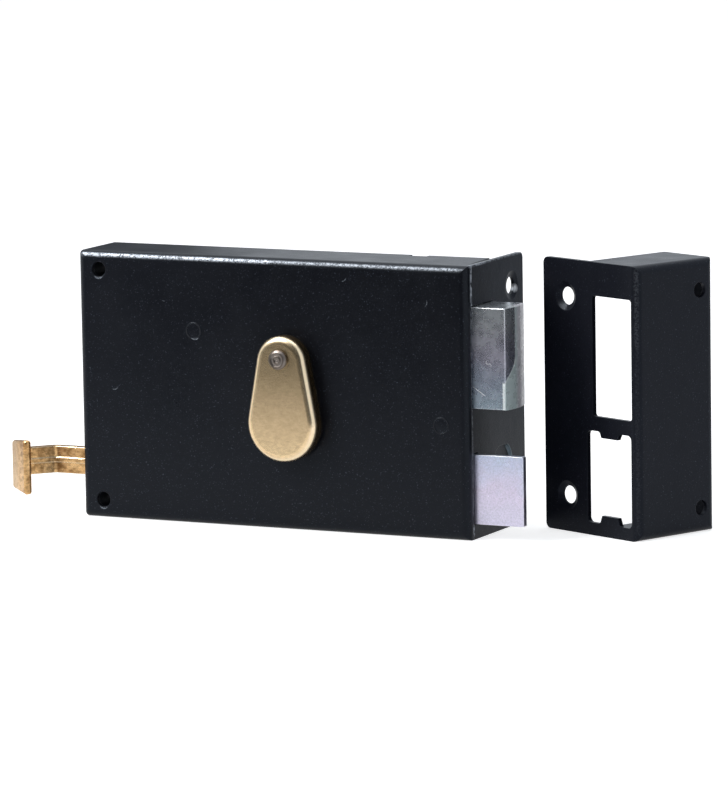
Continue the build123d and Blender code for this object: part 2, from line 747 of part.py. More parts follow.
def make_keep_shell():
    """The keep: strike plate with its screw flange, cover, and top, bottom and side walls."""
    outer = block(0, keep_width, 0, keep_box_depth, 0, case_height)
    outer = fillet(outer.faces().sort_by(Axis.Y)[0].edges(), edge_radius)
    inner = block(sheet, keep_width - sheet, sheet, keep_box_depth + over, sheet, case_height - sheet)
    inner = fillet(inner.faces().sort_by(Axis.Y)[0].edges(), edge_radius - sheet)
    flange = block(0, sheet, edge_radius, keep_plate_depth, 0, case_height)
    flange = fillet(flange.faces().sort_by(Axis.Y)[-1].edges().filter_by(Axis.X), forend_corner_radius)
    shell = outer - inner + flange
    latch = block(-over, sheet + over, keep_upper_front, keep_upper_rear,
                  keep_upper_bottom, keep_upper_top)
    shell -= fillet(latch.edges().filter_by(Axis.X), keep_opening_radius)
    shell -= plate_yz(keep_lower_opening(), -over, sheet + over)
    for z in (keep_plate_hole_low, keep_plate_hole_high):
        shell -= rod_x(keep_plate_hole_y, z, forend_hole_radius, -over, sheet + over)
        shell -= cone_x(keep_plate_hole_y, z, forend_sink_radius, forend_hole_radius,
                        0, keep_sink_depth)
    for z in (keep_cover_hole_low, keep_cover_hole_high):
        shell -= rod_y(keep_cover_hole_x, z, front_hole_radius, -over, sheet + over)
    return Pos(keep_corner_x, keep_corner_y, 0) * Rot(0, 0, keep_turn) * shell


def write(name, shape):
    """Move a piece to the frame of the key axis and write it."""
    placed = Pos(-key_x, -case_depth, -key_z) * shape
    export_step(placed, "parts/" + name + ".step")


os.makedirs("parts", exist_ok=True)
write("case_shell", make_case_shell())
write("back_plate", make_back_plate())
write("back_plate_screws", make_back_plate_screws())
write("upper_post", make_front_post(upper_post_x, upper_post_z))
write("lower_post", make_front_post(lower_post_x, lower_post_z))
write("fixing_sleeves", make_fixing_sleeves())
write("latch_bolt", make_latch_bolt())
write("latch_tail", make_latch_tail())
write("latch_rivets", make_latch_rivets())
write("pull_slide", make_pull_slide())
write("slide_rivets", make_slide_rivets())
write("pull_handle", make_pull_handle())
write("spring_stop", make_spring_stop())
write("latch_spring", make_latch_spring())
write("deadbolt", make_deadbolt())
write("bolt_stump", make_bolt_stump())
for number in range(lever_count):
    write("lever_" + str(number + 1), make_lever(number))
write("lever_post", make_lever_post())
write("lever_post_clip", make_post_clip(lever_pivot_x, lever_pivot_z, pivot_radius, pivot_clip_front))
write("lever_springs", make_lever_springs())
write("lever_spring_anchor", make_lever_spring_anchor())
write("latch_crank", make_latch_crank())
write("crank_post", make_crank_post())
write("crank_post_clip", make_post_clip(crank_x, crank_z, crank_pivot_radius,
                                        tail_front - fit_gap - clip_thickness))
write("key_cover", make_key_cover())
write("key_cover_base", make_key_cover_base())
write("cover_rivet", make_cover_rivet())
write("base_rivet", make_base_rivet())
write("keep_shell", make_keep_shell())
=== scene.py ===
"""Looks of the rim box lock and its keep.

Materials, floor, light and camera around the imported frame.
"""

import math
from collections import namedtuple

import bpy
from mathutils import Matrix, Vector


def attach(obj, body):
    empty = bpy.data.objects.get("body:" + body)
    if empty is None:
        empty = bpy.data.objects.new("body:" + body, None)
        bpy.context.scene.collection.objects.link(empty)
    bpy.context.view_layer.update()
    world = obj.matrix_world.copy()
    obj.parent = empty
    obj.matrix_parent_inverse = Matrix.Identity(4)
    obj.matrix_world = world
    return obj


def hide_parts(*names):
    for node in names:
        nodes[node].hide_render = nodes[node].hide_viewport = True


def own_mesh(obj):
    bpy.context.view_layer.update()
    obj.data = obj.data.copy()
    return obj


MM = 0.001
X, Y, Z = 0, 1, 2
KEY_AXIS = Vector((76.5, 23.5, 31.5))
ORIGIN = (0, 0, 0)


def at(x, y, z):
    """A place in the part's frame, from millimetres off the case's lower left front corner."""
    return (Vector((x, y, z)) - KEY_AXIS) * MM


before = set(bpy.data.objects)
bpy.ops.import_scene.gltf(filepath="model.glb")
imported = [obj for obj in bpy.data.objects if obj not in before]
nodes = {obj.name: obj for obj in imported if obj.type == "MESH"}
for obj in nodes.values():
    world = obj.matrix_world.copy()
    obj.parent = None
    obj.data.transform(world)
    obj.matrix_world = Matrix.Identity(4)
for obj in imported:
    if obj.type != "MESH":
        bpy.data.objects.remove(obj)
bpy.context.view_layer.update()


# Node tree helpers

class Shader:
    """A material's node tree, built by calls that return output sockets."""

    def __init__(self, name):
        self.material = bpy.data.materials.new(name)
        self.material.use_nodes = True
        self.tree = self.material.node_tree
        self.tree.nodes.clear()
        self.coordinates = self.node("ShaderNodeTexCoord").outputs["Object"]

    def node(self, kind, inputs=None, **settings):
        made = self.tree.nodes.new(kind)
        for key, value in settings.items():
            setattr(made, key, value)
        for key, value in (inputs or {}).items():
            self.put(made.inputs[key], value)
        return made

    def put(self, socket, value):
        """Links a socket to another one, or writes a plain value into it."""
        if isinstance(value, bpy.types.NodeSocket):
            self.tree.links.new(value, socket)
        else:
            socket.default_value = value

    def math(self, operation, a, b=0.0, c=0.0, clamp=False):
        made = self.node("ShaderNodeMath", {0: a, 1: b, 2: c}, operation=operation)
        made.use_clamp = clamp
        return made.outputs[0]

    def times(self, first, *others):
        """Product of masks and plain numbers."""
        for other in others:
            first = self.math("MULTIPLY", first, other)
        return first

    def absolute(self, value):
        return self.math("ABSOLUTE", value)

    def span(self, value, low, high, out_low=0.0, out_high=1.0, smooth=False):
        """Maps low to out_low and high to out_high, and holds those beyond."""
        inputs = {0: value, 1: low, 2: high, 3: out_low, 4: out_high}
        made = self.node("ShaderNodeMapRange", inputs)
        made.interpolation_type = "SMOOTHSTEP" if smooth else "LINEAR"
        return made.outputs[0]

    def fade(self, value, full, gone, smooth=False):
        """One up to full, then down to zero at gone."""
        return self.span(value, full, gone, 1.0, 0.0, smooth)

    def mix(self, factor, a, b):
        made = self.node("ShaderNodeMix", data_type="RGBA")
        self.put(made.inputs[0], factor)
        self.put(made.inputs[6], a)
        self.put(made.inputs[7], b)
        return made.outputs[2]

    def noise(self, scale, detail=3.0, roughness=0.5, stretch=None, offset=0.0):
        place = self.coordinates
        if stretch or offset:
            shift = (offset, offset * 0.7, offset * 1.3)
            moved = self.node("ShaderNodeMapping", {0: place, 1: shift, 3: stretch or (1, 1, 1)})
            place = moved.outputs[0]
        inputs = {"Vector": place, "Scale": scale, "Detail": detail, "Roughness": roughness}
        return self.node("ShaderNodeTexNoise", inputs).outputs["Fac"]

    def specks(self, scale, size, share):
        """Sparse round dots: size in cells, share of cells that carry one."""
        made = self.node("ShaderNodeTexVoronoi", {"Vector": self.coordinates, "Scale": scale})
        pick = self.node("ShaderNodeSeparateColor", {0: made.outputs["Color"]}).outputs[0]
        dot = self.math("LESS_THAN", made.outputs["Distance"], size)
        return self.times(dot, self.math("GREATER_THAN", pick, 1.0 - share))

    def distance(self, point, flatten=None):
        """Distance in millimetres from a place of the case, with one axis left out if asked."""
        scale = [1.0 / MM] * 3
        if flatten is not None:
            scale[flatten] = 0.0
        shift = [-c * s for c, s in zip(at(*point), scale)]
        moved = self.node("ShaderNodeMapping", {0: self.coordinates, 1: shift, 3: scale}).outputs[0]
        return self.node("ShaderNodeVectorMath", {0: moved}, operation="LENGTH").outputs["Value"]

    def local(self, point, turn=0.0):
        """Coordinates in millimetres from a place of the case, turned in degrees about depth."""
        shift = tuple(-c / MM for c in at(*point))
        inputs = {0: self.coordinates, 1: shift, 3: (1 / MM,) * 3}
        moved = self.node("ShaderNodeMapping", inputs).outputs[0]
        if turn:
            inputs = {"Vector": moved, "Angle": math.radians(turn)}
            turned = self.node("ShaderNodeVectorRotate", inputs, rotation_type="Y_AXIS")
            moved = turned.outputs[0]
        return self.node("ShaderNodeSeparateXYZ", {0: moved}).outputs

    def ramp(self, value, stops):
        """Colour that passes through stops of (place from 0 to 1, colour)."""
        made = self.node("ShaderNodeValToRGB", {0: value})
        elements = made.color_ramp.elements
        while len(elements) < len(stops):
            elements.new(0.5)
        for element, (place, colour) in zip(elements, stops):
            element.position = place
            element.color = colour
        return made.outputs[0]

    def plain_normal(self):
        return self.node("ShaderNodeNewGeometry").outputs["Normal"]

    def dot(self, a, b):
        made = self.node("ShaderNodeVectorMath", {0: a, 1: b}, operation="DOT_PRODUCT")
        return made.outputs["Value"]

    def soft_edges(self, radius):
        """Normal that rounds the hard edges, and how near a point is to such an edge."""
        bevel = self.node("ShaderNodeBevel", {0: radius}, samples=6).outputs[0]
        away = self.math("SUBTRACT", 1.0, self.dot(bevel, self.plain_normal()), clamp=True)
        return bevel, self.span(away, 0.004, 0.12)

    def bump(self, height, distance, strength, normal):
        inputs = {"Height": height, "Distance": distance, "Strength": strength, "Normal": normal}
        return self.node("ShaderNodeBump", inputs).outputs[0]

    def surface(self, made):
        """Ends the tree with the shader node that is given, and returns the material."""
        output = self.node("ShaderNodeOutputMaterial")
        self.tree.links.new(made.outputs[0], output.inputs["Surface"])
        return self.material

    def finish(self, **inputs):
        names = {key.replace("_", " "): value for key, value in inputs.items()}
        return self.surface(self.node("ShaderNodeBsdfPrincipled", names))


def rgb(red, green, blue):
    """Screen colour from 0 to 255 as a linear colour."""
    def linear(c):
        c /= 255
        return c / 12.92 if c <= 0.04045 else ((c + 0.055) / 1.055) ** 2.4
    return (linear(red), linear(green), linear(blue), 1.0)


# Black paint

PAINT_DARK = (14, 15, 20)
PAINT_LIGHT = (19, 20, 26)
PAINT_GRAIN = rgb(74, 80, 92)
PAINT_EDGE = rgb(46, 49, 56)
PAINT_DUST = rgb(140, 146, 156)
PAINT_SCUFF_AND_HIGHLIGHT = rgb(150, 158, 168)
PAINT_WORN_HIGHLIGHT = (0.44, 0.47, 0.52, 1)
PAINT_GLEAM = (0.78, 0.88, 1.0, 1)
BARE_METAL_GLINT = (0.80, 0.82, 0.85, 1)
ARC_HIGHLIGHT = (0.34, 0.42, 0.46, 1)
ARC_SHADOW = (0.0, 0.0, 0.0, 1)
ARC_HALF_WIDTH = 0.35
ARC_REACH = 0.75
MARK_BEND = 0.26
WORN_HIGHLIGHT_END = 0.8
RING_INSIDE = 0.45
RING_OUTSIDE = 0.35
RIVET_RELIEF = 0.18 * MM
PAINT_RELIEF = 0.060 * MM

BrightMark = namedtuple("BrightMark", "point turn length width strength")
WornHighlight = namedtuple("WornHighlight", "point axis start stop reach strength scale metal")


def paint_rivets(s, normal, rivets):
    """Faint ring and dish where a post is riveted under the paint."""
    for point, radius in rivets:
        away = s.distance(point, Y)
        ring = s.span(away, radius - RING_INSIDE, radius, smooth=True)
        lump = s.times(ring, s.fade(away, radius, radius + RING_OUTSIDE, smooth=True))
        dish = s.span(away, radius * 0.2, radius, 0.5, 0.0, smooth=True)
        normal = s.bump(s.math("ADD", lump, dish), RIVET_RELIEF, 0.8, normal)
    return normal


def paint_bright_marks(s, colour, bright_marks):
    """Short light marks, slightly bent and broken up: scuffs, and painted highlights along the
    lower rims of holes and of a rivet mark.
    """
    for point, turn, length, width, strength in bright_marks:
        x, y, z = s.local(point, turn)
        bend = s.times(s.math("POWER", s.absolute(x), 2.0), MARK_BEND)
        along = s.fade(s.absolute(x), length * 0.35, length * 0.5)
        across = s.fade(s.absolute(s.math("SUBTRACT", z, bend)), width * 0.3, width * 0.6)
        near = s.fade(s.absolute(y), 2, 3)
        broken = s.span(s.noise(2600, detail=2), 0.38, 0.6)
        colour = s.mix(s.times(along, across, near, strength, broken), colour, PAINT_SCUFF_AND_HIGHLIGHT)
    return colour


def paint_worn_highlights(s, colour, worn_highlights):
    """Chipped light lines along edges, as worn paint and as a painted highlight on the edge, and
    how far they are rubbed down to the metal.
    """
    rubbed = 0.0
    for point, axis, start, stop, reach, strength, scale, metal in worn_highlights:
        place = s.local(ORIGIN)[axis]
        begun = s.span(place, start - WORN_HIGHLIGHT_END, start + WORN_HIGHLIGHT_END)
        ending = s.fade(place, stop - WORN_HIGHLIGHT_END, stop + WORN_HIGHLIGHT_END)
        chips = s.span(s.noise(scale, detail=4, roughness=0.7, offset=1.0), 0.40, 0.56)
        line = s.span(s.distance(point, axis), reach * 0.45, reach, strength, 0)
        mask = s.times(line, s.times(begun, ending, chips))
        colour = s.mix(mask, colour, PAINT_WORN_HIGHLIGHT)
        rubbed = s.math("MAXIMUM", rubbed, s.times(mask, metal))
    return colour, rubbed


def paint_arc_light_and_shade(s, colour, shaded_arcs):
    """Round edges in the forend: a painted highlight arc at the right and a painted shadow arc at
    the left.
    """
    for point, radius in shaded_arcs:
        away = s.distance(point, X)
        rim_shading = s.times(s.span(away, radius - ARC_REACH, radius - ARC_HALF_WIDTH),
                      s.fade(away, radius + ARC_HALF_WIDTH, radius + ARC_REACH))
        place = s.local(point)
        right = s.span(place[Y], 0.45 * radius, 0.7 * radius)
        left = s.span(place[Y], -0.2 * radius, -0.5 * radius)
        face = s.fade(s.absolute(place[X]), 1.2, 1.4)
        # Painted highlight on the arc's right wall, painted shadow on its left wall.
        colour = s.mix(s.times(rim_shading, right, face), colour, ARC_HIGHLIGHT)
        colour = s.mix(s.times(rim_shading, left, face), colour, ARC_SHADOW)
    return colour


def paint_bare_glints(s, colour, bare_glints):
    """Ragged bright spots: bare metal where the paint has come off, painted light as a glint on it.
    """
    for point, radius in bare_glints:
        away = s.math("MULTIPLY_ADD", s.noise(900), 1.2, s.distance(point))
        colour = s.mix(s.fade(away, radius * 0.7, radius + 0.6), colour, BARE_METAL_GLINT)
    return colour


def black_paint(name, rivets=(), bright_marks=(), worn_highlights=(), bare_glints=(), shaded_arcs=(),
                rough=0.32, shade=1.0, shine=0.20):
    """Stoved satin black paint: fine grain, slow ripple, dust, and the marks that are given, among
    them painted highlights and painted shadows.
    """
    s = Shader(name)
    soft, edge = s.soft_edges(0.35 * MM)
    grain = s.noise(1500, detail=4, roughness=0.6)
    ripple = s.noise(210)
    cloud = s.noise(24, detail=4, roughness=0.6)
    dark, light = (rgb(*(c * shade for c in tone)) for tone in (PAINT_DARK, PAINT_LIGHT))
    colour = s.mix(cloud, dark, light)
    points = s.span(s.noise(2100, detail=2, offset=5.0), 0.64, 0.74, 0.0, 0.55)
    colour = s.mix(points, colour, PAINT_GRAIN)
    colour = s.mix(s.times(edge, 0.35), colour, PAINT_EDGE)
    colour = s.mix(s.times(s.specks(150, 0.035, 0.05), 0.5), colour, PAINT_DUST)
    relief = s.math("MULTIPLY_ADD", ripple, 1.6, grain)
    normal = s.bump(relief, PAINT_RELIEF, 0.7, soft)
    normal = paint_rivets(s, normal, rivets)
    colour = paint_bright_marks(s, colour, bright_marks)
    colour, rubbed = paint_worn_highlights(s, colour, worn_highlights)
    colour = paint_arc_light_and_shade(s, colour, shaded_arcs)
    colour = paint_bare_glints(s, colour, bare_glints)
    patches = s.noise(70, detail=4, roughness=0.6)
    roughness = s.span(patches, 0.25, 0.75, rough - 0.05, rough + 0.06)
    return s.finish(Base_Color=colour, Metallic=rubbed, Roughness=roughness, Normal=normal,
                    Specular_IOR_Level=shine, Specular_Tint=PAINT_GLEAM)


# Zinc plate

ZINC_SPECKLE = (0.28, 0.30, 0.33, 1)
ZINC_FLECK = (0.74, 0.72, 0.82, 1)
ZINC_EDGE_HIGHLIGHT = (0.97, 0.98, 1.0, 1)
ZINC_SCRATCH = (0.95, 0.97, 1.0, 1)
GROUND_REFLECTION_LILAC = (0.98, 0.95, 1.0, 1)
GROUND_REFLECTION_TEAL = (0.62, 0.78, 0.76, 1)
GROUND_BORDER_HIGHLIGHT = (0.95, 1.0, 1.0, 1)
GROUND_HEIGHT = 9.0
GROUND_LEAN = -5.6
BAND_DRIFT = 16.0
SCRATCH_WAVE = 2.6
ZINC_RELIEF = 0.014 * MM

Scratch = namedtuple("Scratch", "point turn length width bend")
Facet = namedtuple("Facet", "point slope depth")


def zinc_facet(s, colour, normal, facet):
    """Field on the latch's nose that is ground at a shallow slope; its colour is a painted
    reflection, with a painted highlight along its border.
    """
    point, slope, depth = facet
    x, y, z = s.local(point)
    edge_line = s.times(s.fade(z, 0.0, GROUND_HEIGHT, smooth=True), GROUND_LEAN)
    ground = s.math("SUBTRACT", y, edge_line)
    nose = s.math("GREATER_THAN", x, 0.0)
    tilt = s.times(s.math("MAXIMUM", ground, 0.0), -slope / depth)
    normal = s.bump(s.times(tilt, nose), depth * MM, 1.0, normal)
    reflected_field = s.times(s.span(ground, -0.3, 0.3), nose)
    # Painted reflection over the ground field, with a teal tint towards the front edge.
    colour = s.mix(s.times(reflected_field, 0.95), colour, GROUND_REFLECTION_LILAC)
    colour = s.mix(s.times(reflected_field, s.fade(y, 0.0, 2.5), 0.75), colour, GROUND_REFLECTION_TEAL)
    # Painted highlight along the field's border.
    border_highlight = s.times(s.fade(s.absolute(ground), 0.1, 0.5), s.fade(z, 8.5, 10.0), nose)
    colour = s.mix(s.times(border_highlight, 0.8), colour, GROUND_BORDER_HIGHLIGHT)
    return colour, normal, s.math("MAXIMUM", reflected_field, border_highlight)


def zinc_scratches(s, colour, metallic, scratches):
    """Fine light scratches on the front, straight or wavy."""
    for point, turn, length, width, bend in scratches:
        x, y, z = s.local(point, turn)
        wave = s.times(s.math("SINE", s.times(x, SCRATCH_WAVE)), bend)
        along = s.fade(s.absolute(x), length * 0.42, length * 0.5)
        across = s.fade(s.absolute(s.math("SUBTRACT", z, wave)), width * 0.25, width * 0.6)
        mask = s.times(along, across, s.fade(s.absolute(y), 0.8, 1.2))
        colour = s.mix(mask, colour, ZINC_SCRATCH)
        metallic = s.math("SUBTRACT", metallic, s.times(mask, 0.5), clamp=True)
    return colour, metallic


def zinc(name, bands, rough, metal=1.0, scratches=(), facet=None):
    """Bright zinc plate: bands of colour by height, fine speckle, and a painted highlight on the
    edges.
    """
    s = Shader(name)
    soft, edge = s.soft_edges(0.3 * MM)
    drift = s.math("SUBTRACT", s.noise(110, detail=2), 0.5)
    height = s.math("MULTIPLY_ADD", drift, BAND_DRIFT, s.local(ORIGIN)[Z])
    low, high = bands[0][0], bands[-1][0]
    stops = [((z - low) / (high - low), tone) for z, tone in bands]
    colour = s.ramp(s.span(height, low, high), stops)
    speckle = s.noise(1700, roughness=0.7)
    flecks = s.noise(800, roughness=0.6, offset=2.0)
    colour = s.mix(s.span(speckle, 0.35, 0.70, 0.0, 0.40), colour, ZINC_SPECKLE)
    colour = s.mix(s.span(flecks, 0.55, 0.75, 0.0, 0.40), colour, ZINC_FLECK)
    # Painted highlight on the edges: a lighter colour here, and less metal below so that it shows.
    colour = s.mix(edge, colour, ZINC_EDGE_HIGHLIGHT)
    relief = s.math("MULTIPLY_ADD", s.noise(1100), 0.8, speckle)
    normal = s.bump(relief, ZINC_RELIEF, 0.5, soft)
    metallic = s.math("SUBTRACT", metal, s.times(edge, 0.6), clamp=True)
    if facet:
        colour, normal, reflected_field = zinc_facet(s, colour, normal, facet)
        # Less metal where the reflection is painted, so that its colour shows.
        metallic = s.math("SUBTRACT", metallic, s.times(reflected_field, 0.7), clamp=True)
    colour, metallic = zinc_scratches(s, colour, metallic, scratches)
    patches = s.noise(260, detail=4, roughness=0.6)
    roughness = s.span(patches, 0.25, 0.75, rough - 0.05, rough + 0.07)
    return s.finish(Base_Color=colour, Metallic=metallic, Roughness=roughness, Normal=normal)


# Brass

COVER_LIGHT = (0.84, 0.625, 0.37, 1)
COVER_DARK = (0.50, 0.36, 0.19, 1)
COVER_TOP_DARK = (0.34, 0.26, 0.14, 1)
COVER_RIM_HIGHLIGHT = (1.0, 0.82, 0.57, 1)
COVER_SIDE_SHADE = (0.20, 0.12, 0.05, 1)
COVER_EDGE = (0.98, 0.86, 0.62, 1)
CAST_LIGHT = (0.80, 0.52, 0.25, 1)
CAST_DARK = (0.62, 0.36, 0.15, 1)
CAST_HOLLOW = (0.24, 0.12, 0.04, 1)
CAST_EDGE = (1.0, 0.84, 0.58, 1)
CAST_DULL = (0.46, 0.37, 0.27, 1)
CAST_CREVICE_SHADE = (0.09, 0.045, 0.012, 1)
PULL_HEAD_X = -27.0
TOP_DARK_LOW = 38.0
TOP_DARK_HIGH = 55.0
TOWARDS_FRONT = (0, -1, 0)
SATIN_RELIEF = 0.010 * MM
CAST_RELIEF = 0.09 * MM


def satin_brass(name, shaded_sides=True):
    """Pressed brass: satin face, darker to the top, a painted highlight on the rim, and painted
    shade on the brown side walls if asked.
    """
    s = Shader(name)
    soft, edge = s.soft_edges(0.25 * MM)
    grain = s.noise(1300, roughness=0.6, stretch=(0.5, 1.0, 1.0))
    colour = s.mix(s.span(grain, 0.35, 0.75, 0.0, 0.5), COVER_LIGHT, COVER_DARK)
    # Darker towards the top.
    top_darkening = s.span(s.local(ORIGIN)[Z], TOP_DARK_LOW, TOP_DARK_HIGH, 0.0, 0.32, smooth=True)
    colour = s.mix(top_darkening, colour, COVER_TOP_DARK)
    facing = s.dot(s.plain_normal(), TOWARDS_FRONT)
    # Painted highlight on the rounded rim.
    rim_shading = s.times(s.fade(facing, 0.80, 0.98), s.span(facing, 0.15, 0.4))
    colour = s.mix(s.times(rim_shading, 0.8), colour, COVER_RIM_HIGHLIGHT)
    # Painted shade on the side walls.
    if shaded_sides:
        colour = s.mix(s.span(facing, 0.02, 0.30, 0.8, 0.0), colour, COVER_SIDE_SHADE)
    colour = s.mix(s.times(edge, 0.35), colour, COVER_EDGE)
    normal = s.bump(grain, SATIN_RELIEF, 0.6, soft)
    return s.finish(Base_Color=colour, Metallic=0.94, Roughness=0.25, Normal=normal)


def cast_brass(name):
    """Cast brass pull: rubbed bright on its ridges, brown in its hollows, dull on its head, with
    painted shade in its crevices.
    """
    s = Shader(name)
    soft, edge = s.soft_edges(0.5 * MM)
    skin = s.noise(620, detail=5, roughness=0.65, stretch=(0.45, 1.0, 1.0))
    waves = s.noise(130, stretch=(0.35, 1.0, 1.0))
    colour = s.mix(s.span(waves, 0.3, 0.7), CAST_LIGHT, CAST_DARK)
    x = s.local(ORIGIN)[X]
    hollow = s.times(s.span(skin, 0.44, 0.64, 0.0, 0.85),
                     s.span(x, PULL_HEAD_X, PULL_HEAD_X + 5.0, 0.12, 1.0))
    colour = s.mix(hollow, colour, CAST_HOLLOW)
    colour = s.mix(s.times(edge, 0.8), colour, CAST_EDGE)
    colour = s.mix(s.span(x, PULL_HEAD_X, PULL_HEAD_X + 3.0, 0.45, 0.0), colour, CAST_DULL)
    # Painted shade in the crevices, from ambient occlusion.
    crevice_shade = s.node("ShaderNodeAmbientOcclusion", {"Distance": 1.5 * MM}, samples=6).outputs["AO"]
    colour = s.mix(s.span(crevice_shade, 0.2, 0.8, 0.7, 0.0), colour, CAST_CREVICE_SHADE)
    relief = s.math("MULTIPLY_ADD", waves, 1.5, skin)
    normal = s.bump(relief, CAST_RELIEF, 0.8, soft)
    roughness = s.span(skin, 0.3, 0.7, 0.22, 0.40)
    return s.finish(Base_Color=colour, Metallic=1.0, Roughness=roughness, Normal=normal)


# Steel

STEEL_DIRT = (0.16, 0.13, 0.11, 1)
STEEL_EDGE = (0.85, 0.86, 0.88, 1)
STEEL_RING = (0.10, 0.08, 0.065, 1)
STEEL_RELIEF = 0.012 * MM
TURNED_RELIEF = 0.20 * MM
TURNED_WAVE = 5.0


def steel(name, colour, rough=0.34, grain=(1.0, 1.0, 1.0), dirt=0.3, rings=None):
    """Plain steel: drawn grain, darker spots, lighter edges, and turned rings about a place."""
    s = Shader(name)
    soft, edge = s.soft_edges(0.2 * MM)
    lines = s.noise(900, roughness=0.6, stretch=grain)
    cloud = s.noise(160, detail=4, roughness=0.6)
    darker = tuple(c * 0.55 for c in colour[:3]) + (1,)
    tone = s.mix(s.span(lines, 0.3, 0.75, 0.0, 0.45), colour, darker)
    tone = s.mix(s.span(cloud, 0.5, 0.8, 0.0, dirt), tone, STEEL_DIRT)
    tone = s.mix(s.times(edge, 0.6), tone, STEEL_EDGE)
    normal = s.bump(lines, STEEL_RELIEF, 0.6, soft)
    if rings:
        away = s.math("MULTIPLY_ADD", cloud, 0.9, s.distance(rings, Y))
        wave = s.span(s.math("SINE", s.times(away, TURNED_WAVE)), -1.0, 1.0)
        normal = s.bump(wave, TURNED_RELIEF, 0.9, normal)
        tone = s.mix(s.times(wave, 0.6), tone, STEEL_RING)
    roughness = s.span(cloud, 0.3, 0.7, rough - 0.06, rough + 0.1)
    return s.finish(Base_Color=tone, Metallic=1.0, Roughness=roughness, Normal=normal)


# Materials; places are in millimetres from the case's lower left front corner

rivet_marks = [((42.35, 0, 63.3), 2.55), ((130.6, 0, 36.8), 2.55)]
case_bright_marks = [
    BrightMark((13.1, 0, 42.8), turn=20, length=2.2, width=0.35, strength=0.6),
    BrightMark((31.4, 0, 72.6), turn=-15, length=1.6, width=0.3, strength=0.4),
    BrightMark((97.0, 0, 81.9), turn=35, length=2.2, width=0.3, strength=0.45),
    BrightMark((126.1, 0, 75.6), turn=75, length=2.6, width=0.3, strength=0.5),
    # The next three are painted highlights on the lower rims of the two fixing holes and of the
    # upper rivet mark.
    BrightMark((7.7, 0, 79.05), turn=0, length=3.4, width=0.55, strength=1.0),
    BrightMark((7.8, 0, 3.1), turn=0, length=3.0, width=0.5, strength=0.9),
    BrightMark((42.7, 0, 60.5), turn=0, length=2.8, width=0.4, strength=0.8),
]
fold = (140, 3.6, 0)
fold_low = (140, 3.4, 0)
top_end = (139.9, 0, 88)
top_edge = (0, 0.5, 86.75)
# Light lines along the forend's fold and top end and the case's front top edge: worn paint, also
# painted light as the highlights on these edges.
case_worn_highlights = [
    WornHighlight(fold, Z, start=44, stop=88, reach=0.8, strength=0.95, scale=600, metal=0.1),
    WornHighlight(fold, Z, start=1, stop=4.5, reach=0.8, strength=0.85, scale=600, metal=0.1),
    WornHighlight(fold_low, Z, start=8, stop=44, reach=0.5, strength=0.35, scale=600, metal=0.1),
    WornHighlight(top_end, Y, start=2.5, stop=14, reach=0.8, strength=0.8, scale=600, metal=0.1),
    WornHighlight(top_end, Y, start=14, stop=43, reach=0.7, strength=0.45, scale=600, metal=0.1),
    WornHighlight(top_edge, X, start=1, stop=70, reach=1.0, strength=0.5, scale=1500, metal=0.6),
    WornHighlight(top_edge, X, start=70, stop=137, reach=0.9, strength=0.3, scale=1500, metal=0.6),
]
keep_fold = (191.0, 17.2, 0)
# Painted highlight along the keep's rounded front fold.
keep_edge_highlights = [
    WornHighlight(keep_fold, Z, start=62, stop=87, reach=1.6, strength=0.16, scale=1500, metal=0.2),
    WornHighlight(keep_fold, Z, start=2, stop=62, reach=1.5, strength=0.07, scale=1500, metal=0.2),
]
# The bare spot in the forend's countersink is also painted light as the glint on it.
# The forend's arc is painted with a highlight at its right and a shadow at its left.
case_paint = black_paint("case_paint", rivet_marks, case_bright_marks, case_worn_highlights,
                         bare_glints=[((139.7, 37.4, 76.8), 1.6)], shaded_arcs=[((140, 26.0, 20.85), 6.9)])
post_paint = black_paint("post_paint", rivet_marks)
keep_paint = black_paint("keep_paint", worn_highlights=keep_edge_highlights, shade=1.35, shine=0.15)
back_paint = black_paint("back_paint", rough=0.5)

latch_bands = [
    (44, (0.38, 0.47, 0.55, 1)),
    (52, (0.38, 0.43, 0.53, 1)),
    (60, (0.50, 0.48, 0.58, 1)),
    (68, (0.53, 0.54, 0.58, 1)),
    (78, (0.56, 0.60, 0.62, 1)),
]
latch_scratches = [
    Scratch((142.4, 3.6, 47.9), turn=-33, length=5.4, width=0.22, bend=0.0),
    Scratch((145.8, 3.6, 56.85), turn=-47, length=2.8, width=0.18, bend=0.5),
]
latch_facet = Facet((150.6, 9.0, 49.3), slope=0.30, depth=2.0)
latch_zinc = zinc("latch_zinc", latch_bands, 0.26, 0.84, latch_scratches, latch_facet)
bolt_bands = [
    (6, (0.78, 0.74, 0.91, 1)),
    (16, (0.80, 0.72, 0.90, 1)),
    (26, (0.69, 0.74, 0.94, 1)),
    (31, (0.66, 0.80, 0.92, 1)),
]
bolt_zinc = zinc("bolt_zinc", bolt_bands, 0.30)

plain_steel = steel("plain_steel", (0.46, 0.46, 0.47, 1))
drawn_steel = steel("drawn_steel", (0.34, 0.34, 0.35, 1), rough=0.28, grain=(0.05, 1.0, 1.0))
rivet_steel = steel("rivet_steel", (0.23, 0.20, 0.18, 1), rough=0.30, dirt=0.5,
                    rings=(76.5, 0, 56.3))
cover_brass = satin_brass("cover_brass")
base_brass = satin_brass("base_brass", shaded_sides=False)
pull_brass = cast_brass("pull_brass")

looks = {
    "case_shell": case_paint,
    "keep_shell": keep_paint,
    "back_plate": back_paint,
    "fixing_sleeves": back_paint,
    "upper_post": post_paint,
    "lower_post": post_paint,
    "latch_bolt": latch_zinc,
    "deadbolt": bolt_zinc,
    "key_cover": cover_brass,
    "key_cover_base": base_brass,
    "pull_handle": pull_brass,
    "cover_rivet": rivet_steel,
    "latch_spring": drawn_steel,
    "lever_springs": drawn_steel,
}
for name, piece in nodes.items():
    for slot in piece.material_slots:
        slot.material = looks.get(name, plain_steel)

